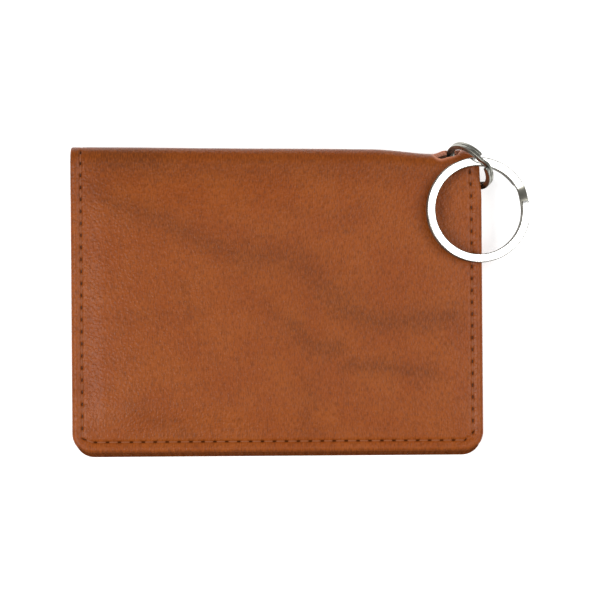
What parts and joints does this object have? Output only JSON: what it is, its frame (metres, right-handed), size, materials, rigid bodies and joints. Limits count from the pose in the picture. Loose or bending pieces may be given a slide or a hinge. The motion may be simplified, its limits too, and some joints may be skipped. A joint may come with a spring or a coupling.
{
  "type": "card wallet",
  "caption": "Folded stitched leather wallet with stepped card pockets, a clear identity card window and a split key ring on a small link ring through its fold.",
  "frame": {"origin": "middle of the rear cover's outer face, on the surface that the closed wallet lies on", "axes": "+X along the fold towards the ring end, +Y towards the fold, +Z out of the front cover"},
  "size_m": [0.1135, 0.0773, 0.0154],
  "materials": {
    "outer_leather": "pebbled tan leather with a soft sheen",
    "inner_leather": "smooth tan leather",
    "lining": "fine woven brown lining",
    "stiffener": "matte sheet",
    "window_film": "clear glossy film",
    "thread": "waxed tan thread",
    "dark_steel": "dark nickel plate",
    "polished_steel": "polished"
  },
  "bodies": {
    "rear_half": {"rear_cover": "outer_leather", "rear_board": "stiffener", "rear_lining": "lining", "card_pocket_back": "inner_leather", "card_pocket_middle": "inner_leather", "card_pocket_front": "inner_leather", "pocket_seam_thread": "thread", "rear_seam_thread": "thread"},
    "spine": {"spine_strip": "outer_leather", "spine_lining": "lining"},
    "front_half": {"front_cover": "outer_leather", "front_board": "stiffener", "front_lining": "lining", "id_window_film": "window_film", "id_window_frame": "inner_leather", "window_seam_thread": "thread", "front_seam_thread": "thread"},
    "link": {"link_ring": "dark_steel"},
    "key": {"key_ring": "polished_steel"}
  },
  "joints": [
    {"name": "spine_fold", "type": "hinge", "parent": "rear_half", "child": "spine", "pos_m": [0, 0.0367, 0.0014], "axis": [-1, 0, 0], "range_deg": [0, 90]},
    {"name": "cover_fold", "type": "hinge", "parent": "spine", "child": "front_half", "pos_m": [0, 0.0367, 0.0076], "axis": [-1, 0, 0], "range_deg": [0, 90]},
    {"name": "link_swing", "type": "hinge", "parent": "front_half", "child": "link", "pos_m": [0.04785, 0.0335, 0.0089], "axis": [-0.7071, 0.7071, 0], "range_deg": [0, 6]},
    {"name": "key_ring_swing", "type": "hinge", "parent": "link", "child": "key", "pos_m": [0.0484, 0.03418, 0.01109], "axis": [-0.989, 0, 0.1478], "range_deg": [0, 150]}
  ],
  "couplings": [
    {"joint": "cover_fold", "follows": "spine_fold", "ratio": 1}
  ]
}
